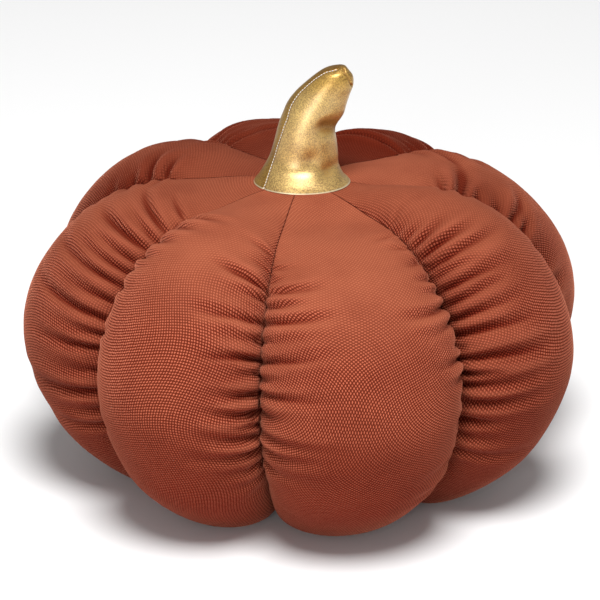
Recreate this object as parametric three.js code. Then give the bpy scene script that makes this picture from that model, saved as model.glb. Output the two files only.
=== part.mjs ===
// Pumpkin cushion in velvet with a stuffed gold horn for its stem, in millimetres, +Z up.
// The origin is on the surface that the cushion rests on, below its middle.
// The front of the cushion faces -Y.

import * as THREE from "three";

// Driving sizes of the cushion body
const TOP_HEIGHT = 211; // the level spot that the stem is sewn to
const STEM_SPOT = 35; // radius of that spot
const COVER_COLOUR = 0xb4583f;

// The meridian of a lobe, from the middle of the top to the middle of the underside.
// crown is the ridge of the lobe and seam the channel beside it, both as [radius, height].
// fullness is the sharpness of the lobe's arch between its seams, rise is how much of the
// lobe's own lift reaches this row, and steps is the number of mesh rows to the next row.
const MERIDIAN = [
  { crown: [0, TOP_HEIGHT], seam: [0, TOP_HEIGHT], fullness: 1.2, rise: 0, steps: 1 },
  { crown: [STEM_SPOT, TOP_HEIGHT], seam: [STEM_SPOT, TOP_HEIGHT], fullness: 1.2, rise: 0, steps: 2 },
  { crown: [66, 211], seam: [66, 207], fullness: 1.2, rise: 0.8, steps: 4 },
  { crown: [102, 212], seam: [100, 201], fullness: 1.3, rise: 1, steps: 6 },
  { crown: [140, 202], seam: [126, 185], fullness: 1.6, rise: 1, steps: 6 },
  { crown: [169, 180], seam: [144, 161], fullness: 1.9, rise: 0.8, steps: 6 },
  { crown: [192, 147], seam: [154, 132], fullness: 1.9, rise: 0.5, steps: 6 },
  { crown: [200, 110], seam: [150, 104], fullness: 2.0, rise: 0.1, steps: 6 },
  { crown: [190, 70], seam: [144, 79], fullness: 2.0, rise: 0, steps: 6 },
  { crown: [166, 30], seam: [131, 52], fullness: 2.2, rise: 0, steps: 5 },
  { crown: [122, -3], seam: [104, 13], fullness: 2.0, rise: 0, steps: 3 },
  { crown: [84, -3], seam: [74, 10], fullness: 2.0, rise: 0, steps: 3 },
  { crown: [40, 14], seam: [36, 18], fullness: 1.6, rise: 0, steps: 3 },
  { crown: [0, 26], seam: [0, 26], fullness: 1.4, rise: 0, steps: 0 },
];

// The eight lobes, in order round the cushion. start is the bearing in degrees of the
// seam before the lobe, from the front towards +X. bulge scales how far the lobe stands
// out past its seams, and lift raises the lobe's shoulder.
const LOBES = [
  { start: -10, bulge: 1.07, lift: -8 },
  { start: 40, bulge: 1.06, lift: 9 },
  { start: 82, bulge: 0.98, lift: -1 },
  { start: 133, bulge: 0.95, lift: -4 },
  { start: 171, bulge: 1.05, lift: 0 },
  { start: 213, bulge: 0.89, lift: 0 },
  { start: 259, bulge: 0.93, lift: -2 },
  { start: 306, bulge: 1.0, lift: 3 },
];

// Where the mesh columns of a lobe stand between its crown, 0, and its seam, 1
const COLUMNS = [0, 0.22, 0.44, 0.64, 0.82];
const NORMAL_STEP = 0.02; // how far to either side of a point the cover's slope is read

// The gathers, which the drawn-in seams pull into the cloth beside them. They run from
// the FIRST to the LAST row of the meridian, one every PITCH mesh rows.
const GATHER_FIRST = 2.6;
const GATHER_LAST = 8.8;
const GATHER_PITCH = 4;
const GATHER_FADE = 0.7; // rows over which the gathers grow from nothing at either end
const GATHER_PEAK = 14; // distance from the seam at which a gather is deepest
const GATHER_LOBE_SHIFT = 3; // mesh rows by which the gathers of one lobe lie below the last
const GATHER_SIDE_SHIFT = 2; // and those of a lobe's second seam below those of its first
const GATHERS = [
  { depth: 4.4, reach: 44 },
  { depth: 3.0, reach: 34 },
  { depth: 4.8, reach: 52 },
  { depth: 3.6, reach: 38 },
  { depth: 4.2, reach: 48 },
];

// Driving sizes of the stem
const STEM_GAP = 0.3; // between the skirt and the cover
const STEM_SEAM = 150; // bearing of its stitched seam, from +X towards the front
const STEM_SEAM_RIDGE = 0.9;
const STEM_TIP_RISE = 1; // of the blunt end's middle over its last section
const STEM_SIDES = 24;
const STEM_ROWS = 2; // mesh rows between two sections
const STEM_COLOUR = 0xc7a052;

// Level sections of the horn, from its flared skirt to its blunt end. up is the height over
// the skirt, right how far the section has leant, front how far it is drawn forwards, and
// wide and deep its half sizes.
const STEM_SECTIONS = [
  { up: 0, right: 0, front: 3, wide: 33.4, deep: 25 },
  { up: 1.6, right: -0.2, front: 2.8, wide: 32.2, deep: 24.5 },
  { up: 4, right: -0.5, front: 2.4, wide: 29.8, deep: 23.7 },
  { up: 9, right: -0.3, front: 1.4, wide: 26.8, deep: 21.3 },
  { up: 14, right: 0.4, front: 0.4, wide: 24.6, deep: 18.8 },
  { up: 20, right: 1.6, front: 0, wide: 23.2, deep: 17.9 },
  { up: 32, right: 2.8, front: 0, wide: 21.2, deep: 17.5 },
  { up: 42, right: 4.9, front: 0, wide: 20.8, deep: 17 },
  { up: 50, right: 8, front: 0, wide: 21, deep: 16.5 },
  { up: 57, right: 10.4, front: 0, wide: 20.4, deep: 15.5 },
  { up: 64, right: 14, front: 0, wide: 19, deep: 14 },
  { up: 70, right: 18, front: 0, wide: 17, deep: 13 },
  { up: 76, right: 21.4, front: 0, wide: 13.4, deep: 11.8 },
  { up: 80.3, right: 23.2, front: 0, wide: 8.8, deep: 9.6 },
  { up: 82.8, right: 26, front: 0, wide: 4.2, deep: 5 },
];

// Dents in the stuffed horn: where each lies, its half size up the horn and round it in
// degrees, and how deep it is.
const STEM_DENTS = [
  { up: 43, bearing: 50, tall: 5, round: 30, depth: 4.6 },
  { up: 23, bearing: 84, tall: 6, round: 16, depth: 1.8 },
  { up: 13, bearing: 44, tall: 6, round: 20, depth: 2.2 },
];

const radians = THREE.MathUtils.degToRad;

// A smooth curve through the rows of a table
function curveThrough(list, pick) {
  const points = list.map((row) => new THREE.Vector3(...pick(row)));
  return new THREE.CatmullRomCurve3(points, false, "catmullrom", 0.5);
}

const crownLine = curveThrough(MERIDIAN, (row) => [...row.crown, 0]);
const seamLine = curveThrough(MERIDIAN, (row) => [...row.seam, 0]);
const archLine = curveThrough(MERIDIAN, (row) => [row.fullness, row.rise, 0]);

// A point of the smooth cover. across is -1 and 1 at the lobe's two seams and 0 at its
// crown, and row is the place along the meridian, counted in rows of the table.
function coverPoint(lobe, across, row) {
  const place = row / (MERIDIAN.length - 1);
  const crown = crownLine.getPoint(place);
  const seam = seamLine.getPoint(place);
  const arch = archLine.getPoint(place);
  const sideways = Math.sin((Math.PI / 2) * across);
  const height = Math.pow(Math.max(1 - sideways * sideways, 0), 1 / arch.x);
  const { start, bulge, lift } = LOBES[lobe];
  const next = LOBES[(lobe + 1) % LOBES.length].start;
  const end = next > start ? next : next + 360;
  const bearing = radians((start + end) / 2 + ((end - start) / 2) * sideways);
  const radius = seam.x + (crown.x - seam.x) * height * bulge;
  const level = seam.y + (crown.y - seam.y + lift * arch.y) * height;
  return new THREE.Vector3(radius * Math.sin(bearing), -radius * Math.cos(bearing), level);
}

// The direction out of the cover, taken over a small part of a row and of the lobe's width
function coverNormal(lobe, across, row) {
  const step = NORMAL_STEP;
  const inner = Math.sign(across) * Math.min(Math.abs(across), 1 - step);
  const along = coverPoint(lobe, inner, row + step).sub(coverPoint(lobe, inner, row - step));
  const over = coverPoint(lobe, inner + step, row).sub(coverPoint(lobe, inner - step, row));
  return along.cross(over).normalize();
}

// How deep the gathers press the cover in, beside the nearer seam of the lobe
function gatherDepth(lobe, across, row, meshRow) {
  if (row < GATHER_FIRST || row > GATHER_LAST || across === 0) return 0;
  const side = across < 0 ? 0 : 1;
  const shifted = meshRow + GATHER_SIDE_SHIFT * side + GATHER_LOBE_SHIFT * lobe;
  const { depth, reach } = GATHERS[(Math.floor(shifted / GATHER_PITCH) + lobe) % GATHERS.length];
  const seam = coverPoint(lobe, Math.sign(across), row);
  const away = seam.distanceTo(coverPoint(lobe, across, row));
  if (away >= reach) return 0;
  const growing = Math.min(away / GATHER_PEAK, 1);
  const ending = 1 - Math.max(away - GATHER_PEAK, 0) / (reach - GATHER_PEAK);
  const wave = 0.5 + 0.5 * Math.cos((2 * Math.PI * shifted) / GATHER_PITCH);
  const ends = Math.min((row - GATHER_FIRST) / GATHER_FADE, (GATHER_LAST - row) / GATHER_FADE, 1);
  return depth * growing * ending * wave * ends;
}

function meridianRows() {
  const rows = [];
  MERIDIAN.forEach(({ steps }, index) => {
    for (let step = 0; step < steps; step += 1) rows.push(index + step / steps);
  });
  return rows.slice(1);
}

function columnPlaces() {
  const right = COLUMNS.slice(1);
  const left = right.map((place) => -place).reverse();
  return [-1, ...left, ...COLUMNS];
}

// Rings of points from the top to the bottom, each with the same number of points, close
// into one solid between a first and a last point.
function ringSolid(first, rings, last) {
  const count = rings[0].length;
  const points = [first, ...rings.flat(), last];
  const at = (ring, place) => 1 + ring * count + (place % count);
  const faces = [];
  for (let place = 0; place < count; place += 1) {
    faces.push(0, at(0, place), at(0, place + 1));
    for (let ring = 0; ring < rings.length - 1; ring += 1) {
      const [a, b] = [at(ring, place), at(ring, place + 1)];
      const [c, d] = [at(ring + 1, place), at(ring + 1, place + 1)];
      faces.push(a, c, d, a, d, b);
    }
    faces.push(at(rings.length - 1, place), points.length - 1, at(rings.length - 1, place + 1));
  }
  const geometry = new THREE.BufferGeometry().setFromPoints(points);
  geometry.setIndex(faces);
  geometry.computeVertexNormals();
  return geometry;
}

function cushionBody() {
  const places = columnPlaces();
  const rings = meridianRows().map((row, meshRow) =>
    LOBES.flatMap((_, lobe) =>
      places.map((across) => {
        const point = coverPoint(lobe, across, row);
        const depth = gatherDepth(lobe, across, row, meshRow);
        if (depth > 0) point.addScaledVector(coverNormal(lobe, across, row), -depth);
        point.z = Math.max(point.z, 0);
        return point;
      })
    )
  );
  const top = new THREE.Vector3(0, 0, TOP_HEIGHT);
  const bottom = new THREE.Vector3(0, 0, MERIDIAN[MERIDIAN.length - 1].crown[1]);
  const material = new THREE.MeshStandardMaterial({ color: COVER_COLOUR, roughness: 0.85, metalness: 0 });
  const mesh = new THREE.Mesh(ringSolid(top, rings, bottom), material);
  mesh.name = "cushion_body";
  return mesh;
}

function angleBetween(first, second) {
  const turn = Math.abs(first - second) % 360;
  return Math.min(turn, 360 - turn);
}

function dentDepth(up, bearing) {
  return STEM_DENTS.reduce((sum, dent) => {
    const high = (up - dent.up) / dent.tall;
    const round = angleBetween(bearing, dent.bearing) / dent.round;
    return sum + dent.depth * Math.exp(-(high * high) - round * round);
  }, 0);
}

// The horn is two panels sewn down both sides, so a low ridge follows each seam.
function seamRidge(bearing) {
  const away = Math.min(angleBetween(bearing, STEM_SEAM), angleBetween(bearing, STEM_SEAM + 180));
  return away < 1 ? STEM_SEAM_RIDGE : 0;
}

function stem() {
  const places = curveThrough(STEM_SECTIONS, ({ up, right, front }) => [up, right, front]);
  const sizes = curveThrough(STEM_SECTIONS, ({ wide, deep }) => [wide, deep, 0]);
  const count = (STEM_SECTIONS.length - 1) * STEM_ROWS;
  const rings = [];
  for (let index = count; index >= 0; index -= 1) {
    const { x: up, y: right, z: front } = places.getPoint(index / count);
    const { x: wide, y: deep } = sizes.getPoint(index / count);
    const ring = [];
    for (let side = 0; side < STEM_SIDES; side += 1) {
      const bearing = STEM_SEAM + (360 / STEM_SIDES) * side;
      const push = seamRidge(bearing) - dentDepth(up, bearing);
      const x = right + (wide + push) * Math.cos(radians(bearing));
      const y = -front - (deep + push) * Math.sin(radians(bearing));
      ring.push(new THREE.Vector3(x, y, up));
    }
    rings.push(ring.reverse());
  }
  const end = STEM_SECTIONS[STEM_SECTIONS.length - 1];
  const tip = new THREE.Vector3(end.right, 0, end.up + STEM_TIP_RISE);
  const heel = new THREE.Vector3(0, 0, 0);
  const material = new THREE.MeshStandardMaterial({ color: STEM_COLOUR, roughness: 0.38, metalness: 0.75 });
  const mesh = new THREE.Mesh(ringSolid(tip, rings, heel), material);
  mesh.name = "stem";
  mesh.position.z = TOP_HEIGHT + STEM_GAP;
  return mesh;
}

const pumpkinCushion = new THREE.Group();
pumpkinCushion.add(cushionBody(), stem());

export default pumpkinCushion;
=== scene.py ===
"""A velvet pumpkin cushion with a gold stem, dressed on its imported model. Metres, +Z up."""

import math

import bpy
import numpy as np
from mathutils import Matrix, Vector


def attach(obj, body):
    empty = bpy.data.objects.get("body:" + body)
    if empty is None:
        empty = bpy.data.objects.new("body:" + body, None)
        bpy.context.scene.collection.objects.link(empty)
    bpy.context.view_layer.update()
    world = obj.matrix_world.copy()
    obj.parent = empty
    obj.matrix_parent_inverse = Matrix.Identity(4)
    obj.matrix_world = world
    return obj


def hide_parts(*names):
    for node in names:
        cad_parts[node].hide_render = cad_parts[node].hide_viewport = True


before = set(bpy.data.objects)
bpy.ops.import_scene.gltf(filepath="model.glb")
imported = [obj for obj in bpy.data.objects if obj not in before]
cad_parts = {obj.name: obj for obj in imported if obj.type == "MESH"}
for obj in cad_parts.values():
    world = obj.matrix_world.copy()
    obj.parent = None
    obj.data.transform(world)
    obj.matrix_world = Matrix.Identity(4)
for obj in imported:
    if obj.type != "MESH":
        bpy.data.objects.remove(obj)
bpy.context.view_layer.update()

MM = 0.001
PHOTO_WIDTH = 600


# Camera

VIEW_ELEVATION = math.radians(24.4)
VIEW_DISTANCE = 2.4
VIEW_TARGET = Vector((-0.0014, 0.0, 0.1197))
PIXELS_PER_METRE = 1424  # in the photo, at the target's distance


def make_camera():
    back = Vector((0, -math.cos(VIEW_ELEVATION), math.sin(VIEW_ELEVATION)))
    data = bpy.data.cameras.new("camera")
    data.lens = data.sensor_width * PIXELS_PER_METRE * VIEW_DISTANCE / PHOTO_WIDTH
    camera = bpy.data.objects.new("camera", data)
    camera.location = VIEW_TARGET + back * VIEW_DISTANCE
    camera.rotation_mode = "QUATERNION"
    camera.rotation_quaternion = (-back).to_track_quat("-Z", "Y")
    bpy.context.scene.collection.objects.link(camera)
    bpy.context.scene.camera = camera


# Shape of the cover, with the part's own sizes in millimetres

STEM_SPOT = 35  # radius of the level place that the stem stands on
TOP_HEIGHT = 211

# The meridian of a lobe from the middle of the top to the middle of the underside: radius and
# height on the crown, radius and height in the seam, how full the arch between the seams is,
# and how much of the lobe's lift reaches the row.
MERIDIAN = np.array(
    [
        (0, TOP_HEIGHT, 0, TOP_HEIGHT, 1.2, 0),
        (STEM_SPOT, TOP_HEIGHT, STEM_SPOT, TOP_HEIGHT, 1.2, 0),
        (66, 211, 66, 207, 1.2, 0.8),
        (102, 212, 100, 201, 1.3, 1),
        (140, 202, 126, 185, 1.6, 1),
        (169, 180, 144, 161, 1.9, 0.8),
        (192, 147, 154, 132, 1.9, 0.5),
        (200, 110, 150, 104, 2.0, 0.1),
        (190, 70, 144, 79, 2.0, 0),
        (166, 30, 131, 52, 2.2, 0),
        (122, -3, 104, 13, 2.0, 0),
        (84, -3, 74, 10, 2.0, 0),
        (40, 14, 36, 18, 1.6, 0),
        (0, 26, 0, 26, 1.4, 0),
    ],
    float,
)

# The lobes in order: bearing of the seam before the lobe, how far it bulges, how much its
# shoulder is lifted, the angle of the weave on its gore, how much painted shade darkens its
# pile, and how much more painted shade it gets in the gathers.
LOBES = [
    (-10, 1.07, -8, 50, 0, 0),
    (40, 1.06, 9, 27, 0.22, 0.12),
    (82, 0.98, -1, 60, 0.05, 0.75),
    (133, 0.95, -4, 40, 1, 0),
    (171, 1.05, 0, 48, 0.85, 0.1),
    (213, 0.89, 0, 62, 0.52, 0.4),
    (259, 0.93, -2, 76, 0.25, 0.12),
    (306, 1.0, 3, 2, 0, 0),
]

GATHER_SHADE_REACH = 45  # how far from a seam the painted shade of the gathers reaches, in millimetres
DARKER_FROM, DARKER_OVER = 2.4, 1.2  # the row where that begins, and the rows it grows over

COLUMNS = 40  # mesh columns across a lobe
CROWDED = 0.22  # how much closer together they stand near the seams
FINE_ROW = 2.4  # mesh rows on the sides and top
COARSE_ROW = 5.5  # mesh rows under the stem and under the cushion
LAST_SEEN_ROW = 9  # of the meridian, before the underside

# The gathers read from the photo, on both sides of the front seam and on the lobes to the
# right and left of the front pair: the row of the meridian where each starts in the seam, the
# row where it ends, its reach over the lobe and its depth.
LEFT_OF_FRONT_SEAM = [
    (3.3, 3.1, 20, 2.2),
    (3.75, 3.6, 18, 1.6),
    (4.18, 3.93, 36, 4.2),
    (4.42, 4.36, 20, 3.0),
    (4.9, 5.0, 44, 3.6),
    (5.3, 5.25, 28, 3.2),
    (5.62, 5.7, 44, 4.2),
    (5.95, 5.93, 30, 3.2),
    (6.35, 6.42, 46, 4.0),
    (6.85, 6.66, 50, 4.2),
    (7.2, 7.05, 30, 2.6),
    (7.5, 7.2, 46, 3.8),
    (7.85, 7.62, 52, 3.6),
    (8.3, 8.1, 34, 2.6),
    (8.7, 8.5, 30, 2.2),
]
RIGHT_OF_FRONT_SEAM = [
    (3.6, 3.5, 18, 1.8),
    (4.2, 4.0, 36, 3.4),
    (4.5, 4.4, 24, 2.2),
    (4.85, 4.7, 44, 3.8),
    (5.25, 5.1, 26, 2.2),
    (5.65, 5.42, 46, 3.6),
    (6.0, 5.9, 28, 2.2),
    (6.3, 6.2, 60, 3.4),
    (6.8, 6.7, 34, 2.4),
    (7.28, 7.25, 66, 3.2),
    (7.72, 7.43, 64, 3.0),
    (8.2, 8.0, 40, 2.4),
]
RIGHT_LOBE = [
    (2.78, 2.6, 16, 1.6),
    (3.25, 3.3, 16, 2.0),
    (3.53, 3.53, 26, 3.4),
    (3.78, 4.03, 42, 4.2),
    (4.13, 4.32, 48, 4.4),
    (4.32, 4.5, 26, 3.0),
    (4.65, 4.9, 44, 4.4),
    (4.98, 5.08, 42, 4.0),
    (5.28, 5.45, 40, 3.8),
    (5.58, 5.84, 48, 4.2),
    (6.08, 6.43, 58, 4.4),
    (6.4, 6.6, 30, 2.6),
    (6.72, 6.84, 54, 4.0),
    (7.13, 7.15, 56, 3.8),
    (7.6, 7.6, 36, 2.6),
    (8.0, 8.0, 34, 2.4),
    (8.4, 8.38, 54, 3.0),
]
FAR_LEFT_LOBE = [
    (2.9, 2.7, 24, 3.0),
    (3.4, 3.15, 44, 4.2),
    (3.7, 3.6, 26, 2.6),
    (3.93, 4.03, 48, 4.8),
    (4.3, 4.4, 30, 3.0),
    (4.58, 4.73, 44, 4.4),
    (4.88, 5.0, 58, 4.8),
    (5.25, 5.35, 32, 2.8),
    (5.65, 5.7, 64, 4.6),
    (5.95, 6.1, 30, 2.6),
    (6.28, 6.55, 52, 3.8),
    (6.8, 7.0, 34, 2.6),
    (7.35, 7.6, 66, 4.0),
    (7.8, 7.95, 34, 2.6),
    (8.2, 8.3, 54, 3.2),
]

GATHER_GAIN = 2.1  # how much deeper the gathers are drawn than the tables say
GATHER_REACH = 1.4  # and how much further they reach
SIDE_GATHERS = 1.2  # how much longer still the gathers of the two side lobes are
GATHER_WIDTH = 3.1  # half width of a gather's trough, along the seam
ROOT_WIDTH, WIDER_OUT = 0.75, 0.8  # a gather is narrow at its seam and widens over the lobe
SHALLOW_WIDTH, WIDER_DEEP = 0.7, 0.09  # and a deep one is wider, for each millimetre
ROOT_DEPTH, DEEPEST = 0.35, 0.25  # it is shallow at its seam and deepest at this share
GATHER_RIDGE = 0.65  # height of the ridges beside a trough, as a share of its depth
RIDGE_SPREAD = 1.9  # and how much wider than the trough they are

# The gathers without a table: the rows between which they lie, the share of strong ones, the
# reach and depth of strong and weak ones, how far they slant and the rows between them
LOOSE_FIRST, LOOSE_LAST = 2.9, 8.8
STRONG_SHARE = 0.6
STRONG_REACH, WEAK_REACH = (34, 56), (18, 30)
STRONG_DEPTH, WEAK_DEPTH = (3.0, 4.2), (1.8, 2.6)
LOOSE_SLANT = (-0.2, 0.2)
LOOSE_PITCH = (0.3, 0.5)
# Shares by which the reach and depth of those gathers differ, by lobe and side: -1 is the
# lobe's first seam and 1 its last
LOOSE_SIZES = {
    (0, 1): (0.9, 0.9),
    (1, 1): (0.65, 0.65),
    (2, -1): (0.8, 2.1),
    (5, 1): (0.65, 1.3),
    (6, -1): (0.65, 0.65),
    (7, -1): (0.8, 0.8),
}


CURVE_SAMPLES = 9  # of a stretch of the meridian, to measure its length


def curve_through(table, places):
    """A smooth curve through the rows of a table, at places counted in rows."""
    last = len(table) - 1
    start = np.minimum(np.floor(places).astype(int), last - 1)
    t = (places - start)[:, None]
    before, here = table[np.maximum(start - 1, 0)], table[start]
    after, beyond = table[start + 1], table[np.minimum(start + 2, last)]
    leave, arrive = (after - before) / 2, (beyond - here) / 2
    cubic = 2 * here - 2 * after + leave + arrive
    square = -3 * here + 3 * after - 2 * leave - arrive
    return ((cubic * t + square) * t + leave) * t + here


def mesh_rows():
    """Where the mesh rows lie on the meridian, counted in rows of its table."""
    places = [0.0]
    for row in range(len(MERIDIAN) - 1):
        crown = curve_through(MERIDIAN[:, :2], np.linspace(row, row + 1, CURVE_SAMPLES))
        length = np.linalg.norm(np.diff(crown, axis=0), axis=1).sum()
        hidden = row == 0 or row > LAST_SEEN_ROW
        steps = max(round(length / (COARSE_ROW if hidden else FINE_ROW)), 2)
        places.extend(row + (step + 1) / steps for step in range(steps))
    return np.array(places)


def mesh_columns():
    """Where the mesh columns lie across a lobe, from -1 to 1, closer together near its seams."""
    even = np.linspace(-1, 1, COLUMNS + 1)
    return even * (1 + CROWDED - CROWDED * even**2)


def lobe_span(lobe):
    """The bearings of the seams before and after a lobe, in radians."""
    start = LOBES[lobe][0]
    end = LOBES[(lobe + 1) % len(LOBES)][0]
    return math.radians(start), math.radians(end if end > start else end + 360)


def smooth_lobe(lobe, rows, columns):
    """The lobe without its gathers, as an array of rows by columns of points."""
    _, bulge, lift, *_ = LOBES[lobe]
    line = curve_through(MERIDIAN, rows)
    crown, seam, full, rise = line[:, :2], line[:, 2:4], line[:, 4:5], line[:, 5:6]
    sideways = np.sin(math.pi / 2 * columns)
    arch = np.maximum(1 - sideways**2, 0)[None, :] ** (1 / full)
    start, end = lobe_span(lobe)
    bearing = (start + end) / 2 + (end - start) / 2 * sideways
    radius = seam[:, :1] + (crown - seam)[:, :1] * arch * bulge
    level = seam[:, 1:] + ((crown - seam)[:, 1:] + lift * rise) * arch
    return np.stack([radius * np.sin(bearing), -radius * np.cos(bearing), level], -1)


def walk(points):
    """The distance walked along each line of a grid of points, from its first."""
    length = np.linalg.norm(np.diff(points, axis=1), axis=-1).cumsum(1)
    return np.pad(length, ((0, 0), (1, 0)))


def outward(points):
    """The unit normals of a grid of points, away from the filling."""
    down, over = np.gradient(points, axis=0), np.gradient(points, axis=1)
    normal = np.cross(down, over)
    return normal / np.maximum(np.linalg.norm(normal, axis=-1, keepdims=True), 1e-9)


def loose_gathers(random, long, deep):
    """Gathers for one side of a seam, about as large as those that were read from the photo."""
    found, place = [], LOOSE_FIRST
    while place < LOOSE_LAST:
        strong = random.random() < STRONG_SHARE
        reach = long * random.uniform(*(STRONG_REACH if strong else WEAK_REACH))
        depth = deep * random.uniform(*(STRONG_DEPTH if strong else WEAK_DEPTH))
        found.append((place, place + random.uniform(*LOOSE_SLANT), reach, depth))
        place += random.uniform(*LOOSE_PITCH)
    return found


def gathers_by_side():
    """The gathers beside every seam, by lobe and side."""
    random = np.random.default_rng(8)
    sides = {}
    for lobe in range(len(LOBES)):
        for side in (-1, 1):
            sides[lobe, side] = loose_gathers(random, *LOOSE_SIZES.get((lobe, side), (1, 1)))
    sides[7, 1] = LEFT_OF_FRONT_SEAM
    sides[0, -1] = RIGHT_OF_FRONT_SEAM
    sides[1, -1] = longer(RIGHT_LOBE, SIDE_GATHERS)
    sides[6, 1] = longer(FAR_LEFT_LOBE, SIDE_GATHERS)
    return sides


def longer(gathers, share):
    return [(start, end, reach * share, depth) for start, end, reach, depth in gathers]


def gather_relief(gathers, away, along, seam_places):
    """How far the gathers raise or press the cloth, over its distances from and along a seam."""
    relief = np.zeros_like(away)
    for start, end, reach, depth in gathers:
        share = np.clip(away / (reach * GATHER_REACH), 0, 1)
        first, last = np.interp((start, end), *seam_places)
        middle = first + (last - first) * share
        width = GATHER_WIDTH * (ROOT_WIDTH + WIDER_OUT * share)
        offset = (along - middle) / (width * (SHALLOW_WIDTH + WIDER_DEEP * depth))
        rising = ROOT_DEPTH + (1 - ROOT_DEPTH) * np.minimum(share / DEEPEST, 1)
        swell = rising * np.cos(math.pi / 2 * share)
        profile = GATHER_RIDGE * np.exp(-((offset / RIDGE_SPREAD) ** 2)) - np.exp(-(offset**2))
        relief += GATHER_GAIN * depth * swell * profile
    return relief


def cover_grid(rows, columns):
    """All eight lobes with the gathers drawn in, the weave's coordinates on each, and how far
    each point is from the nearer seam, all in millimetres."""
    sides = gathers_by_side()
    line = curve_through(MERIDIAN, rows)
    seam_length = walk(line[None, :, 2:4])[0]
    crown_length = walk(line[None, :, :2])[0]
    seam_places = (rows, seam_length)
    lobes, weaves, away = [], [], []
    for lobe in range(len(LOBES)):
        points = smooth_lobe(lobe, rows, columns)
        walked = walk(points)
        away.append(np.minimum(walked, walked[:, -1:] - walked))
        along = np.broadcast_to(seam_length[:, None], walked.shape)
        relief = gather_relief(sides[lobe, -1], walked, along, seam_places)
        relief += gather_relief(sides[lobe, 1], walked[:, -1:] - walked, along, seam_places)
        lobes.append(points + outward(points) * relief[..., None])
        across = walked - walked[:, -1:] / 2
        down = np.broadcast_to(crown_length[:, None], across.shape)
        turn = math.radians(LOBES[lobe][3])
        weaves.append(
            np.stack(
                [
                    across * math.cos(turn) + down * math.sin(turn),
                    down * math.cos(turn) - across * math.sin(turn),
                ],
                -1,
            )
        )
    for lobe in range(len(LOBES)):
        following = (lobe + 1) % len(LOBES)
        shared = (lobes[lobe][:, -1] + lobes[following][:, 0]) / 2
        lobes[lobe][:, -1] = lobes[following][:, 0] = shared
    keep_to_wedges(lobes)
    return np.stack(lobes), np.stack(weaves), np.stack(away)


LOBE_GAP = 0.15  # half the gap that is left between two lobes, in millimetres


def keep_to_wedges(lobes):
    """Presses neighbouring lobes flat against each other, and all of them on the floor."""
    for lobe, points in enumerate(lobes):
        start, end = lobe_span(lobe)
        radius = np.hypot(points[..., 0], points[..., 1])
        bearing = np.arctan2(points[..., 0], -points[..., 1])
        middle = (start + end) / 2
        turned = (bearing - middle + math.pi) % (2 * math.pi) - math.pi
        gap = LOBE_GAP / np.maximum(radius, 1)
        limit = (end - start) / 2 - gap
        kept = np.clip(turned, -limit, limit)[:, 1:-1] + middle
        points[:, 1:-1, 0] = radius[:, 1:-1] * np.sin(kept)
        points[:, 1:-1, 1] = -radius[:, 1:-1] * np.cos(kept)
        points[..., 2] = np.maximum(points[..., 2], 0)


# The cover as cloth, sewn to its shorter seams and pressed out by the filling

CLOTH_FRAMES = 16
HELD_ABOVE, HELD_BELOW = 2.2, 9.3  # rows beyond which the cover is held in place
BAND_FIRST = HELD_ABOVE - 0.2  # the first row that takes part, with the held ones
BAND_LAST = HELD_BELOW + 0.3
LOOSE_ROWS, LOOSE_SHARE = (2.4, 3.2, 8.4, 9.2), (0, 1, 1, 0)  # where there is cloth to spare
MOST_SPARE = 0.4  # of the length that the cloth is sewn to
SPARE_EVENED = 0.5  # how much of the spare cloth is left after the drawn gathers take theirs
WEIGHT_LEVELS = 40  # steps in which the spare cloth is told to the simulation
MOST_MOVE = 8  # millimetres that a fold may move a point
FOLDS_KEPT = 0.55  # share of the cloth's own folds that is added to the drawn gathers
CALM_CROWN = 0.8  # share of the way from crown to seam over which the folds grow
BROAD_ROUNDS = 70  # of averaging, which tells a lobe's broad swelling from its folds
CLOTH_SETTINGS = {
    "quality": 4,
    "mass": 0.1,
    "tension_stiffness": 15,
    "compression_stiffness": 15,
    "shear_stiffness": 5,
    "bending_stiffness": 0.5,
    "use_pressure": True,
    "uniform_pressure_force": 4,
    "shrink_min": -MOST_SPARE,
    "shrink_max": 0,
}


def spare_cloth(rows, columns):
    """How much longer the cloth is than the lobe beside a seam, as a share of MOST_SPARE."""
    smooth = np.stack([smooth_lobe(lobe, rows, columns) for lobe in range(len(LOBES))])
    steps = np.linalg.norm(np.gradient(smooth, axis=1), axis=-1)
    crown = steps[:, :, COLUMNS // 2, None]
    extra = crown / np.maximum(steps, 0.01) - 1
    share = np.interp(rows, LOOSE_ROWS, LOOSE_SHARE)[None, :, None]
    return np.clip(extra * share * SPARE_EVENED, 0, MOST_SPARE) / MOST_SPARE


def ring_band(grid):
    """The points of an array of lobes by rows by columns as rings, each seam counted once."""
    return grid[:, :, :-1].swapaxes(0, 1).reshape(grid.shape[1] * len(LOBES) * COLUMNS, -1)


def lobe_band(rings, row_count):
    """The rings as an array of lobes by rows by columns, each seam in both of its lobes."""
    grid = rings.reshape(row_count, len(LOBES), COLUMNS, -1).swapaxes(0, 1)
    return np.concatenate([grid, np.roll(grid, -1, axis=0)[:, :, :1]], 2)


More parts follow.
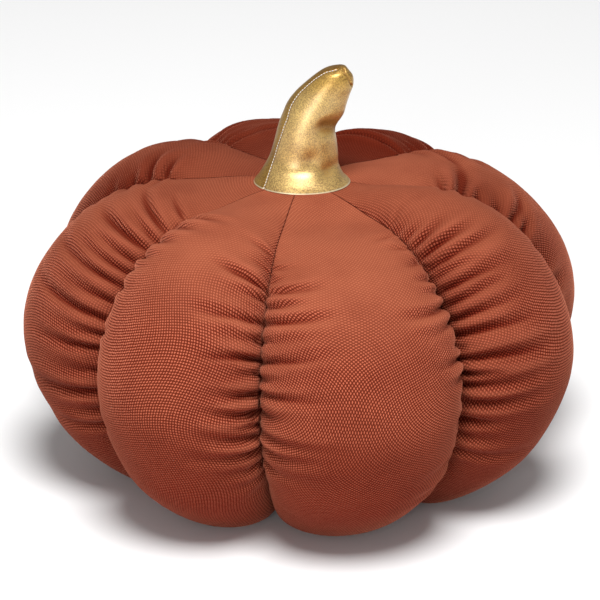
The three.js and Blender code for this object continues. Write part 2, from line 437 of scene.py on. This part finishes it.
def settled(points, faces, held, spare):
    """Where the points come to rest when the faces between them are cloth, in metres."""
    band = new_piece("cloth_band", points, faces)
    pins = band.vertex_groups.new(name="held")
    pins.add(np.nonzero(held)[0].tolist(), 1.0, "REPLACE")
    fitted = band.vertex_groups.new(name="fitted")
    level = np.round((1 - spare) * WEIGHT_LEVELS)
    for step in range(WEIGHT_LEVELS + 1):
        fitted.add(np.nonzero(level == step)[0].tolist(), step / WEIGHT_LEVELS, "REPLACE")
    cloth = band.modifiers.new("cloth", "CLOTH")
    for name, value in CLOTH_SETTINGS.items():
        setattr(cloth.settings, name, value)
    cloth.settings.vertex_group_mass = "held"
    cloth.settings.vertex_group_shrink = "fitted"
    cloth.settings.effector_weights.gravity = 0
    cloth.collision_settings.use_collision = False
    cloth.point_cache.frame_start, cloth.point_cache.frame_end = 1, CLOTH_FRAMES
    for number in range(1, CLOTH_FRAMES + 1):
        bpy.context.scene.frame_set(number)
    found = np.zeros(len(points) * 3, np.float32)
    rested = band.evaluated_get(bpy.context.evaluated_depsgraph_get())
    rested.data.vertices.foreach_get("co", found)
    bpy.data.objects.remove(band)
    bpy.context.scene.frame_set(1)
    return found.reshape(-1, 3).astype(float)


def broad_part(moved):
    """The slow part of a movement along the seams, without its folds."""
    for _ in range(BROAD_ROUNDS):
        padded = np.pad(moved, ((0, 0), (1, 1), (0, 0), (0, 0)), "edge")
        moved = (padded[:, :-2] + padded[:, 2:]) / 4 + padded[:, 1:-1] / 2
    return moved


def let_out(lobes, rows, away):
    """Lets the sewn cover settle as cloth and keeps the folds that form, within MOST_MOVE."""
    loose = (rows > BAND_FIRST) & (rows < BAND_LAST)
    spare = spare_cloth(rows, mesh_columns())[:, loose]
    points = ring_band(lobes[:, loose]) * MM
    place = np.repeat(rows[loose], len(LOBES) * COLUMNS)
    on_seam = ring_band(away[:, loose, :, None])[:, 0] == 0
    held = on_seam | (place < HELD_ABOVE) | (place > HELD_BELOW)
    faces = band_faces(loose.sum(), len(LOBES) * COLUMNS)
    found = settled(points, faces, held, ring_band(spare[..., None])[:, 0])
    moved = np.zeros_like(lobes)
    moved[:, loose] = lobe_band((found - points) / MM, loose.sum())
    folds = moved - broad_part(moved)
    size = np.linalg.norm(folds, axis=-1, keepdims=True)
    folds *= np.minimum(1, MOST_MOVE / np.maximum(size, 1e-6))
    beside_seams = np.minimum(1, np.abs(mesh_columns() / CALM_CROWN))[:, None] ** 2
    lobes += FOLDS_KEPT * folds * beside_seams
    keep_to_wedges(lobes)


def fold_heights(lobes, rows, columns):
    """How far its folds raise each point, in millimetres."""
    smooth = np.stack([smooth_lobe(lobe, rows, columns) for lobe in range(len(LOBES))])
    moved = lobes - smooth
    return ((moved - broad_part(moved)) * np.stack([outward(lobe) for lobe in smooth])).sum(-1)


# Meshes


def new_piece(name, points, faces):
    mesh = bpy.data.meshes.new(name)
    mesh.from_pydata([tuple(point) for point in points], [], faces)
    mesh.validate()
    mesh.polygons.foreach_set("use_smooth", [True] * len(mesh.polygons))
    piece = bpy.data.objects.new(name, mesh)
    bpy.context.scene.collection.objects.link(piece)
    return piece


def band_faces(rings, count):
    """Faces between rings of points that lie one below another."""
    ring, place = np.arange(rings - 1)[:, None] * count, np.arange(count)[None]
    after = (place + 1) % count
    corners = [ring + place, ring + count + place, ring + count + after, ring + after]
    return np.stack(corners, -1).reshape(-1, 4).tolist()


def ring_faces(rings, count):
    """Faces of a solid made of rings of points between a first and a last point."""
    last, end = 1 + rings * count, 1 + (rings - 1) * count
    faces = [[corner + 1 for corner in face] for face in band_faces(rings, count)]
    for place in range(count):
        after = (place + 1) % count
        faces.append((0, 1 + place, 1 + after))
        faces.append((end + place, last, end + after))
    return faces


def add_field(piece, name, values):
    """Stores a value at each point of a piece, for its finish to read."""
    attribute = piece.data.attributes.new(name, "FLOAT", "POINT")
    attribute.data.foreach_set("value", np.asarray(values, np.float32))


def with_ends(values):
    """A value for each point of the rings, and nought for the point at either end."""
    return np.concatenate([[0], ring_band(values[:, 1:-1, :, None])[:, 0], [0]])


def make_cover():
    rows, columns = mesh_rows(), mesh_columns()
    lobes, weaves, away = cover_grid(rows, columns)
    let_out(lobes, rows, away)
    points = np.concatenate([lobes[0, :1, 0], ring_band(lobes[:, 1:-1]), lobes[0, -1:, 0]])
    count = len(LOBES) * COLUMNS
    cover = new_piece("cover", points * MM, ring_faces(len(rows) - 2, count))
    lay_weave(cover, weaves, count, len(rows))
    add_field(cover, "fold", with_ends(fold_heights(lobes, rows, columns)))
    add_field(cover, "from_seam", with_ends(away))
    # Painted shade on the pile: darker on some gores, and darker still in the gathers near their
    # seams.
    pile_shade, gather_shade = np.array([lobe[4:] for lobe in LOBES], float).T[..., None, None]
    below_top = np.clip((rows - DARKER_FROM) / DARKER_OVER, 0, 1)[:, None]
    pile_shade = pile_shade + gather_shade * below_top * np.exp(-((away / GATHER_SHADE_REACH) ** 2))
    add_field(cover, "painted_pile_shade", with_ends(pile_shade))
    return cover


def lay_weave(cover, weaves, count, row_count):
    """Gives each face the weave's coordinates of its own lobe, so that the gores meet at seams."""
    mesh = cover.data
    corners = np.zeros(len(mesh.loops), int)
    mesh.loops.foreach_get("vertex_index", corners)
    row = np.where(corners == 0, 0, (corners - 1) // count + 1)
    row = np.where(corners == len(mesh.vertices) - 1, row_count - 1, row)
    place = (corners - 1) % count
    face_of = np.repeat(np.arange(len(mesh.polygons)), [p.loop_total for p in mesh.polygons])
    pole = (corners == 0) | (corners == len(mesh.vertices) - 1)
    low = np.full(len(mesh.polygons), count)
    high = np.full(len(mesh.polygons), -1)
    np.minimum.at(low, face_of[~pole], place[~pole])
    np.maximum.at(high, face_of[~pole], place[~pole])
    wraps = high - low > 1
    first = np.where(wraps, high, low)
    lobe = first[face_of] // COLUMNS
    column = np.where(pole, first[face_of], place) - lobe * COLUMNS
    column = np.where(column < 0, column + count, column)
    weave = weaves[lobe, row, np.clip(column, 0, COLUMNS)] * MM
    layer = mesh.uv_layers.new(name="weave")
    layer.data.foreach_set("uv", weave.astype(np.float32).ravel())


# Stem, a horn of two panels sewn together down both sides

STEM_FOOT = TOP_HEIGHT + 0.3
STEM_SIDES = 216
STEM_STEP = 10  # mesh rows between two sections
STEM_TIP_RISE = 0.8
# Level sections of the horn: height over its foot, how far it has leant, half width, half
# depth, and how far the skirt is drawn forwards
STEM_SECTIONS = np.array(
    [
        (0, 0, 33.4, 25, 3),
        (1.6, -0.2, 32.2, 24.5, 2.8),
        (4, -0.5, 29.8, 23.7, 2.4),
        (9, -0.3, 26.8, 21.3, 1.4),
        (14, 0.4, 24.6, 18.8, 0.4),
        (20, 1.6, 23.2, 17.9, 0),
        (32, 2.8, 21.2, 17.5, 0),
        (42, 4.9, 20.8, 17, 0),
        (50, 8, 21, 16.5, 0),
        (57, 10.4, 20.4, 15.5, 0),
        (64, 14, 19, 14, 0),
        (70, 18, 17, 13, 0),
        (76, 21.4, 13.4, 11.8, 0),
        (80.3, 23.2, 8.8, 9.6, 0),
        (82.8, 26, 4.2, 5, 0),
    ],
    float,
)
# The stitched seam on the left and the plain one behind: height and bearing from +X
STITCHED_SEAM = [(0, 142), (6, 146), (17, 152), (27, 152), (39, 147), (48, 146), (58, 152)]
STITCHED_SEAM += [(67, 156), (76, 156), (81, 148), (83, 112)]
BACK_SEAM = [(0, 322), (20, 330), (45, 330), (65, 332), (80, 340)]
# Soft dents: height, bearing, half height, half width in degrees, depth
STEM_DENTS = [
    (44, 46, 7, 26, 2.4),
    (21, 80, 6.5, 14, 1.3),
    (10.5, 44, 5, 18, 2.2),
]
DENT_WEAR_AND_SHADE = 0.65  # how much wear and painted shade darken a dent, beside a crease of the same depth
# Creases, and the furrows of both seams: half width, depth, and the heights and bearings that
# each runs through
STEM_CREASES = [
    (5.4, 1.9, [(45, 62), (44, 52), (42, 30), (39, 8), (37, -12)]),
    (0.8, 1.6, [(83, 52), (80, 42), (77, 36), (72.5, 29), (70, 14)]),
    (0.9, 0.8, STITCHED_SEAM),
    (0.9, 0.8, BACK_SEAM),
]

PLACE_SAMPLES = 400  # of the whole horn, to find a height's place on the table
LINE_SAMPLES = 60  # of each stretch of a line, to measure its length
CREASE_STEP = 0.7  # between the points of a crease, in millimetres

STITCH_PITCH = 2.1
STITCH_LENGTH = 1.55
STITCH_LIFT = 0.05
THREAD_RADIUS = 0.3
THREAD_SIDES = 6
# How thick the thread of a stitch is, at shares of its length from the middle
STITCH_SECTIONS = [(-0.5, 0.35), (-0.36, 0.9), (0, 1), (0.36, 0.9), (0.5, 0.35)]
FROM_SEAM_TO_CORE = 12  # how far right of the seam the middle of the horn's filling lies


def turn_between(first, second):
    return np.abs((first - second + 180) % 360 - 180)


def stem_place(up):
    """The place on the table of sections, counted in rows, of a height over the foot."""
    places = np.linspace(0, len(STEM_SECTIONS) - 1, PLACE_SAMPLES)
    return np.interp(up, curve_through(STEM_SECTIONS, places)[:, 0], places)


def dent_depth(up, bearing):
    """How far the soft dents press in the horn at heights over the foot and bearings."""
    pressed = np.zeros_like(up)
    for dent_up, dent_bearing, tall, broad, depth in STEM_DENTS:
        high = (up - dent_up) / tall
        sideways = turn_between(bearing, dent_bearing) / broad
        pressed += depth * np.exp(-(high**2) - sideways**2)
    return pressed


def stem_surface(places, bearing):
    """Points of the horn without its creases, for places on the table and bearings."""
    up, lean, wide, deep, forward = np.moveaxis(
        curve_through(STEM_SECTIONS, places.ravel()).reshape(*places.shape, 5), -1, 0
    )
    pressed = dent_depth(up, bearing)
    angle = np.radians(bearing)
    x = lean + (wide - pressed) * np.cos(angle)
    y = -forward - (deep - pressed) * np.sin(angle)
    return np.stack([x, y, up + STEM_FOOT], -1)


def stem_line(through, step):
    """Points a step apart along a line on the horn, given by heights and bearings."""
    up, bearing = np.array(through, float).T
    share = np.linspace(0, len(up) - 1, LINE_SAMPLES * len(up))
    up = np.interp(share, np.arange(len(up)), up)
    bearing = np.interp(share, np.arange(len(through)), bearing)
    points = stem_surface(stem_place(up), bearing)
    walked = np.concatenate([[0], np.linalg.norm(np.diff(points, axis=0), axis=1).cumsum()])
    even = np.arange(0, walked[-1], step)
    return np.stack([np.interp(even, walked, points[:, axis]) for axis in range(3)], -1)


def crease_depth(points):
    """How far the creases press in each point of the horn."""
    pressed = np.zeros(points.shape[:-1])
    for half_width, depth, through in STEM_CREASES:
        line = stem_line(through, CREASE_STEP)
        near = np.full(points.shape[:-1], np.inf)
        for spot in line:
            near = np.minimum(near, ((points - spot) ** 2).sum(-1))
        pressed = np.maximum(pressed, depth * np.exp(-near / half_width**2))
    return pressed


def make_stem():
    places = np.linspace(len(STEM_SECTIONS) - 1, 0, (len(STEM_SECTIONS) - 1) * STEM_STEP + 1)
    bearings = np.arange(STEM_SIDES) * (360 / STEM_SIDES)
    places, bearings = np.broadcast_arrays(places[:, None], bearings[None, ::-1])
    grid = stem_surface(places, bearings)
    pressed = crease_depth(grid)
    # Wear and painted shade, deepest in the creases, seam furrows and dents.
    wear_and_shade = pressed + DENT_WEAR_AND_SHADE * dent_depth(grid[..., 2] - STEM_FOOT, bearings)
    wrapped = np.concatenate([grid[:, -1:], grid, grid[:, :1]], 1)
    grid = grid - outward(wrapped)[:, 1:-1] * pressed[..., None]
    tip = grid[0].mean(0) + (0, 0, STEM_TIP_RISE)
    foot = grid[-1].mean(0)
    grid[..., 2] = np.maximum(grid[..., 2], STEM_FOOT)
    points = np.concatenate([tip[None], grid.reshape(-1, 3), foot[None]]) * MM
    stem = new_piece("stem_cover", points, ring_faces(len(grid), STEM_SIDES))
    add_field(stem, "wear_and_shade", np.concatenate([[0], wear_and_shade.ravel(), [0]]))
    # Marks the back panel beyond the stitched seam, which the finish darkens with painted shade.
    seam_up, seam_bearing = np.array(STITCHED_SEAM, float).T
    seam = np.interp(grid[..., 2] - STEM_FOOT, seam_up, seam_bearing)
    behind = (bearings > seam) & (bearings < BACK_SEAM[0][1])
    add_field(stem, "shaded_back_panel", np.concatenate([[1], behind.ravel(), [0]]))
    return stem


def stitch_points(here, after, core):
    """The rings of one stitch between two holes, on the side away from the horn's filling."""
    along = (after - here) / np.linalg.norm(after - here)
    middle = (here + after) / 2
    out = np.array([middle[0] - core, middle[1], 0.0])
    out = out - along * (out @ along)
    out /= np.linalg.norm(out)
    side = np.cross(along, out)
    points = []
    for share, thick in STITCH_SECTIONS:
        ring = middle + out * STITCH_LIFT + along * (share * STITCH_LENGTH)
        for angle in np.radians(np.arange(THREAD_SIDES) * 360 / THREAD_SIDES):
            spread = side * math.cos(angle) + out * math.sin(angle)
            points.append((ring + spread * THREAD_RADIUS * thick) * MM)
    return points


def make_stitches():
    """The pale stitches that show in the seam on the left of the horn."""
    line = stem_line(STITCHED_SEAM, STITCH_PITCH)
    core = line[:, 0].mean() + FROM_SEAM_TO_CORE
    rings = len(STITCH_SECTIONS)
    tube = band_faces(rings, THREAD_SIDES)
    tube.append(list(range(THREAD_SIDES))[::-1])
    tube.append(list(range((rings - 1) * THREAD_SIDES, rings * THREAD_SIDES)))
    points, faces = [], []
    for here, after in zip(line[:-1], line[1:]):
        faces += [[corner + len(points) for corner in face] for face in tube]
        points += stitch_points(here, after, core)
    return new_piece("stem_stitches", points, faces)


# Finishes


class Field:
    """A value over a surface: a node's output socket, with Python's arithmetic on it."""

    def __init__(self, finish, socket):
        self.finish = finish
        self.socket = socket

    def _maths(self, operation, first, second):
        settings = {"operation": operation}
        return self.finish.node("ShaderNodeMath", settings, {0: first, 1: second})

    def __add__(self, other):
        return self._maths("ADD", self, other)

    __radd__ = __add__

    def __sub__(self, other):
        return self._maths("SUBTRACT", self, other)

    def __rsub__(self, other):
        return self._maths("SUBTRACT", other, self)

    def __mul__(self, other):
        return self._maths("MULTIPLY", self, other)

    __rmul__ = __mul__


COLOUR_OUTPUT = 2  # of a Mix node, whose colours are its inputs 6 and 7
NUMBER_OUTPUT = 2  # of an Attribute node
NORMAL_PLACE, OBJECT_PLACE = 1, 3  # outputs of a Texture Coordinate node


class Finish:
    """One material and the ways to add nodes to it."""

    def __init__(self, name):
        self.material = bpy.data.materials.new(name)
        self.material.use_nodes = True
        self.tree = self.material.node_tree
        self.tree.nodes.clear()

    def node(self, kind, settings=None, sockets=None, output=0):
        """Adds a node, sets its settings and then its sockets, and gives one of its outputs."""
        made = self.tree.nodes.new(kind)
        for name, value in (settings or {}).items():
            setattr(made, name, value)
        for name, value in (sockets or {}).items():
            if isinstance(value, Field):
                self.tree.links.new(value.socket, made.inputs[name])
            else:
                made.inputs[name].default_value = value
        return Field(self, made.outputs[output]) if len(made.outputs) else None

    def cosine(self, value):
        return self.node("ShaderNodeMath", {"operation": "COSINE"}, {0: value})

    def noise(self, where, scale, detail=2.0, roughness=0.5):
        """Soft irregular patches, as many across a metre as the scale says."""
        sockets = {"Vector": where, "Scale": scale, "Detail": detail, "Roughness": roughness}
        return self.node("ShaderNodeTexNoise", None, sockets)

    def bend(self, along, scale, amount):
        """A slow wander of up to the amount over a distance along one thread."""
        settings, sockets = {"noise_dimensions": "1D"}, {"W": along, "Scale": scale, "Detail": 0.0}
        return self.node("ShaderNodeTexNoise", settings, sockets) * amount

    def spread(self, value, low, high, new_low=0.0, new_high=1.0):
        """The value's range from low to high moved smoothly to another range."""
        settings = {"interpolation_type": "SMOOTHSTEP"}
        sockets = {"Value": value, "From Min": low, "From Max": high}
        sockets.update({"To Min": new_low, "To Max": new_high})
        return self.node("ShaderNodeMapRange", settings, sockets)

    def part(self, vector, axis):
        """One coordinate of a vector."""
        return self.node("ShaderNodeSeparateXYZ", None, {0: vector}, axis)

    def stored(self, name):
        """A value stored at the piece's points."""
        return self.node("ShaderNodeAttribute", {"attribute_name": name}, None, NUMBER_OUTPUT)

    def place(self):
        """Where a point is on its piece, in metres."""
        return self.node("ShaderNodeTexCoord", None, None, OBJECT_PLACE)

    def facing(self):
        """Which way the surface faces on its piece."""
        return self.node("ShaderNodeTexCoord", None, None, NORMAL_PLACE)

    def blend(self, share, first, second):
        """A mix of two colours."""
        settings, sockets = {"data_type": "RGBA"}, {"Factor": share, 6: first, 7: second}
        return self.node("ShaderNodeMix", settings, sockets, COLOUR_OUTPUT)

    def tint(self, share, colour, factor):
        """A colour multiplied, as far as the share goes, by another."""
        settings = {"data_type": "RGBA", "blend_type": "MULTIPLY"}
        sockets = {"Factor": share, 6: colour, 7: factor}
        return self.node("ShaderNodeMix", settings, sockets, COLOUR_OUTPUT)

    def bump(self, height, distance, strength):
        """A normal that raises the surface by the height, over the distance."""
        sockets = {"Height": height, "Distance": distance, "Strength": strength}
        return self.node("ShaderNodeBump", None, sockets)

    def surface(self, sockets):
        """Ends the material with the values of its surface."""
        shader = self.node("ShaderNodeBsdfPrincipled", None, sockets)
        self.node("ShaderNodeOutputMaterial", None, {"Surface": shader})
        return self.material


def rgb(red, green, blue):
    return (red, green, blue, 1.0)


WEAVE_PITCH = 1.95 * MM
WEAVE_BENT = 42 * MM  # how far the filling bends the threads of the weave
BENDS = 11.0  # how often, for each metre
WANDER = 2.8  # how far single threads wander, in radians of the weave's waves
WEAVE_HEIGHT = 0.5 * MM
SEAM_LINE = 0.7  # half width of the dark line in a seam, in millimetres


def velvet():
    """Terracotta velvet with a small raised weave, with painted sheen that flattens it on top,
    painted shade that darkens it underneath, in the fold troughs and on the darker-lying gores,
    and a painted highlight on the fold ridges.
    """
    finish = Finish("velvet")
    laid = finish.node("ShaderNodeUVMap", {"uv_map": "weave"})
    place = finish.place()
    upward = finish.part(finish.facing(), 2)
    fold = finish.stored("fold")
    from_seam = finish.stored("from_seam")
    painted_pile_shade = finish.stored("painted_pile_shade")

    turn = 2 * math.pi / WEAVE_PITCH
    wander = finish.noise(laid, 260.0, 1.0) * WANDER
    across, down = finish.part(laid, 0), finish.part(laid, 1)
    first = finish.cosine((across + finish.bend(down, BENDS, WEAVE_BENT)) * turn + wander)
    second = finish.cosine((down + finish.bend(across, BENDS, WEAVE_BENT)) * turn + wander)
    plump = finish.noise(place, 480.0, 2.0, 0.6)
    nub = finish.spread((first * 0.5 + 0.5) * (second * 0.5 + 0.5) * (plump + 0.5), 0.0, 0.6)
    fuzz = finish.noise(place, 2600.0, 2.0, 0.7)
    brushed = finish.spread(finish.noise(place, 24.0, 3.0, 0.6), 0.35, 0.75)

    # Painted sheen on upward faces, which pales and smooths the weave on top.
    painted_top_sheen = finish.spread(upward, 0.5, 0.95)
    # Painted shade on downward faces.
    painted_shade_below = finish.spread(upward, 0.15, -0.8)
    painted_trough_shade = finish.spread(fold, -0.2, -2.6)
    # Painted shade in the fold troughs, above; painted highlight on the fold ridges, below.
    painted_ridge_highlight = finish.spread(fold, 0.2, 1.8)
    stitched = finish.spread(from_seam, SEAM_LINE, 0.0)

    between_nubs, on_nubs = rgb(0.135, 0.019, 0.008), rgb(0.53, 0.137, 0.074)
    # Colours of the weave under the painted sheen on top.
    painted_sheen_gaps, painted_sheen_nubs = rgb(0.33, 0.088, 0.044), rgb(0.40, 0.118, 0.060)
    weave = finish.blend(nub, between_nubs, on_nubs)
    # Painted shade on downward faces: the weave turns a deep brown-red.
    weave = finish.blend(painted_shade_below * 0.65, weave, rgb(0.24, 0.045, 0.021))
    # Painted sheen on upward faces.
    cloth = finish.blend(painted_top_sheen * 0.85, weave, finish.blend(nub, painted_sheen_gaps, painted_sheen_nubs))
    # Painted highlight on the fold ridges.
    cloth = finish.blend(painted_ridge_highlight * 0.35, cloth, rgb(0.49, 0.142, 0.076))
    cloth = finish.tint(fuzz * 0.5, cloth, rgb(0.7, 0.62, 0.6))
    cloth = finish.tint(brushed * 0.5, cloth, rgb(0.7, 0.6, 0.6))
    # Painted shade on the darker-lying gores and their gathers, on downward faces and in the fold
    # troughs.
    cloth = finish.tint(painted_pile_shade, cloth, rgb(0.33, 0.15, 0.12))
    cloth = finish.tint(painted_shade_below, cloth, rgb(0.52, 0.155, 0.11))
    cloth = finish.tint(painted_trough_shade, cloth, rgb(0.54, 0.31, 0.27))
    cloth = finish.tint(stitched, cloth, rgb(0.25, 0.16, 0.15))
    relief = nub * (1 - painted_top_sheen * 0.6) + fuzz * 0.2
    return finish.surface(
        {
            "Base Color": cloth,
            "Roughness": 0.9,
            "Specular IOR Level": 0.03,
            "Sheen Weight": 0.55,
            "Sheen Roughness": 0.28,
            "Sheen Tint": rgb(1.0, 0.36, 0.22),
            "Normal": finish.bump(relief, WEAVE_HEIGHT, 0.8),
        }
    )


GRAIN_HEIGHT = 0.14 * MM
TIP_SHADE_FROM, TIP_SHADE_FULL = 62, 76  # heights over the foot between which painted shade darkens the leather towards the tip
EDGE_FROM, EDGE_FULL = 1.0, 0.6  # and at which its bright cut edge begins and is full


def gold_leather():
    """Soft metallic gold imitation leather with a fine grain and a bright cut edge, darkened by
    wear and painted shade in its creases, dents and seam furrows, and by painted shade on its back
    panel and towards its tip.
    """
    finish = Finish("gold_leather")
    place = finish.place()
    height = finish.part(place, 2)
    shaded_back_panel = finish.stored("shaded_back_panel")
    grain = finish.noise(place, 1250.0, 2.0, 0.6)
    cloud = finish.noise(place, 70.0, 3.0, 0.6)
    wear_and_shade = finish.spread(finish.stored("wear_and_shade") + grain * 5, 3.2, 5.0)
    # Painted shade towards the tip.
    tip = finish.spread(height, (STEM_FOOT + TIP_SHADE_FROM) * MM, (STEM_FOOT + TIP_SHADE_FULL) * MM)
    edge = finish.spread(height, (STEM_FOOT + EDGE_FROM) * MM, (STEM_FOOT + EDGE_FULL) * MM)

    tone = finish.spread(grain, 0.38, 0.62) * 0.7 + finish.spread(cloud, 0.3, 0.7) * 0.3
    dull_gold, bright_gold = rgb(0.34, 0.185, 0.04), rgb(0.83, 0.57, 0.17)
    gold = finish.blend(tone, dull_gold, bright_gold)
    # Wear and painted shade darken the creases, seam furrows and dents.
    gold = finish.tint(wear_and_shade, gold, rgb(0.5, 0.38, 0.28))
    # Painted shade darkens the leather towards the tip.
    gold = finish.tint(tip, gold, rgb(0.82, 0.74, 0.56))
    # Painted shade on the back panel, which curves away beside the stitched seam.
    gold = finish.tint(shaded_back_panel, gold, rgb(0.62, 0.54, 0.38))
    gold = finish.blend(edge * 0.85, gold, rgb(0.9, 0.78, 0.5))
    return finish.surface(
        {
            "Base Color": gold,
            "Metallic": 0.7 - wear_and_shade * 0.45,
            "Coat Weight": (1 - wear_and_shade * 0.95) * (1 - shaded_back_panel * 0.8) * (1 - tip * 0.7),
            "Coat IOR": 1.75,
            "Coat Roughness": 0.37,
            "Roughness": finish.spread(grain, 0.3, 0.7, 0.36, 0.52),
            "Normal": finish.bump(grain + cloud * 0.6, GRAIN_HEIGHT, 0.7),
        }
    )


def thread():
    """Pale sewing thread."""
    finish = Finish("thread")
    strands = finish.noise(finish.place(), 4000.0, 1.0)
    shaded, lit = rgb(0.55, 0.52, 0.48), rgb(0.88, 0.86, 0.83)
    return finish.surface({"Base Color": finish.blend(strands, shaded, lit), "Roughness": 0.7})


# Floor and light, in metres and watts

FLOOR_REACH = 6.0
FLOOR_DROP = 0.0002  # so that the flats of the lobes show no flicker on it
LIGHT_AIM = Vector((0, 0, 0.12))


def make_floor():
    """A plain pale floor."""
    corners = [(-1, -1), (1, -1), (1, 1), (-1, 1)]
    points = [(x * FLOOR_REACH, y * FLOOR_REACH, 0) for x, y in corners]
    floor = new_piece("floor", points, [(0, 1, 2, 3)])
    floor.location.z = -FLOOR_DROP
    finish = Finish("pale_floor")
    finish.surface({"Base Color": rgb(0.9, 0.9, 0.9), "Roughness": 0.9})
    floor.data.materials.append(finish.material)


def area_light(name, bearing, elevation, distance, size, power):
    """A soft box that faces the cushion from a bearing, in degrees from the front to +X."""
    side, height = math.radians(bearing), math.radians(elevation)
    out = Vector(
        (
            math.sin(side) * math.cos(height),
            -math.cos(side) * math.cos(height),
            math.sin(height),
        )
    )
    data = bpy.data.lights.new(name, "AREA")
    data.shape = "DISK"
    data.size = size
    data.energy = power
    light = bpy.data.objects.new(name, data)
    light.location = LIGHT_AIM + out * distance
    light.rotation_mode = "QUATERNION"
    light.rotation_quaternion = (-out).to_track_quat("-Z", "Y")
    bpy.context.scene.collection.objects.link(light)


def make_light():
    """Soft studio light from above and a little from the front."""
    area_light("key", bearing=4, elevation=68, distance=3.4, size=1.5, power=140)
    area_light("front", bearing=-20, elevation=8, distance=3.2, size=1.2, power=30)
    world = bpy.data.worlds.new("studio")
    world.use_nodes = True
    sky = world.node_tree.nodes["Background"]
    sky.inputs["Color"].default_value = (1, 1, 1, 1)
    sky.inputs["Strength"].default_value = 0.3
    bpy.context.scene.world = world
    bpy.context.scene.view_settings.view_transform = "Standard"


make_camera()

cover = make_cover()
cover.data.materials.append(velvet())
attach(cover, "root")
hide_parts("cushion_body")

stem = make_stem()
stem.data.materials.append(gold_leather())
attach(stem, "root")
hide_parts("stem")

stitches = make_stitches()
stitches.data.materials.append(thread())
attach(stitches, "root")

make_floor()
make_light()
